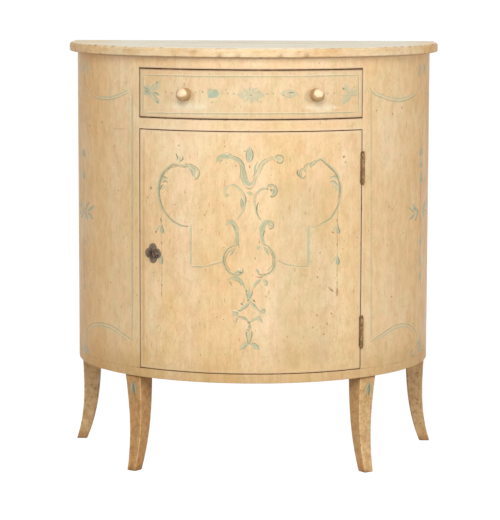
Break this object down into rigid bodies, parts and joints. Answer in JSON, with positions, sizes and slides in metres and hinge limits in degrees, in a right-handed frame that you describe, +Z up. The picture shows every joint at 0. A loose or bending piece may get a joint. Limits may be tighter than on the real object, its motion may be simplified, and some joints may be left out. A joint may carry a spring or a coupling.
{
  "type": "demilune cabinet",
  "caption": "Half-round painted cabinet on four sabre legs, with a bowed drawer over a bowed, lockable door.",
  "frame": {"origin": "on the floor, under the middle of the top board's box", "axes": "+Z up, the front faces -Y, +X to the right of a person who faces the front"},
  "size_m": [0.8524, 0.5062, 0.95],
  "materials": {
    "cream_paint": "aged cream paint under satin varnish",
    "top_paint": "worn pale paint",
    "raw_pine": "old unpainted pine",
    "drawer_pine": "planed pine",
    "knob_gilt": "turned wood with worn gilt paint",
    "hinge_iron": "browned iron",
    "old_iron": "dark old iron",
    "steel": "dull steel"
  },
  "bodies": {
    "carcass": {"bottom_board": "cream_paint", "side_panel_left": "cream_paint", "side_panel_right": "cream_paint", "top_rail": "cream_paint", "drawer_blade": "cream_paint", "front_leg_left": "cream_paint", "front_leg_right": "cream_paint", "rear_leg_left": "cream_paint", "rear_leg_right": "cream_paint", "top_board": "top_paint", "back_board_left": "raw_pine", "back_board_centre": "raw_pine", "back_board_right": "raw_pine", "back_rail_top": "raw_pine", "back_rail_middle": "raw_pine", "front_post_left": "raw_pine", "front_post_right": "raw_pine", "rear_post_left": "raw_pine", "rear_post_right": "raw_pine", "drawer_runner_left": "raw_pine", "drawer_runner_right": "raw_pine", "drawer_kicker_left": "raw_pine", "drawer_kicker_right": "raw_pine", "drawer_guide_left": "raw_pine", "drawer_guide_right": "raw_pine", "drawer_stop_left": "raw_pine", "drawer_stop_right": "raw_pine", "dust_panel": "raw_pine", "shelf": "raw_pine", "shelf_bearer_left": "raw_pine", "shelf_bearer_right": "raw_pine", "door_stop": "raw_pine", "hinge_frame_leaf_upper": "hinge_iron", "hinge_frame_leaf_lower": "hinge_iron", "hinge_pin_upper": "hinge_iron", "hinge_pin_lower": "hinge_iron", "frame_screw_upper_top": "steel", "frame_screw_upper_bottom": "steel", "frame_screw_lower_top": "steel", "frame_screw_lower_bottom": "steel", "lock_keeper": "old_iron"},
    "drawer": {"drawer_front": "cream_paint", "drawer_side_left": "drawer_pine", "drawer_side_right": "drawer_pine", "drawer_back": "drawer_pine", "drawer_bottom": "drawer_pine", "knob_left": "knob_gilt", "knob_right": "knob_gilt"},
    "door": {"door_panel": "cream_paint", "door_batten_top": "raw_pine", "door_batten_bottom": "raw_pine", "hinge_door_leaf_upper": "hinge_iron", "hinge_door_leaf_lower": "hinge_iron", "door_screw_upper_top": "steel", "door_screw_upper_bottom": "steel", "door_screw_lower_top": "steel", "door_screw_lower_bottom": "steel", "escutcheon": "old_iron", "lock_case": "old_iron"},
    "lock_bolt": {"lock_bolt": "steel"}
  },
  "joints": [
    {"name": "drawer_slide", "type": "slide", "parent": "carcass", "child": "drawer", "axis": [0, -1, 0], "range_m": [0, 0.25]},
    {"name": "door_swing", "type": "hinge", "parent": "carcass", "child": "door", "pos_m": [0.24701, -0.15751, 0.237], "axis": [0, 0, 1], "range_deg": [0, 120]},
    {"name": "lock_bolt_slide", "type": "slide", "parent": "door", "child": "lock_bolt", "axis": [-0.8281, 0.5606, 0], "range_m": [0, 0.012]}
  ]
}
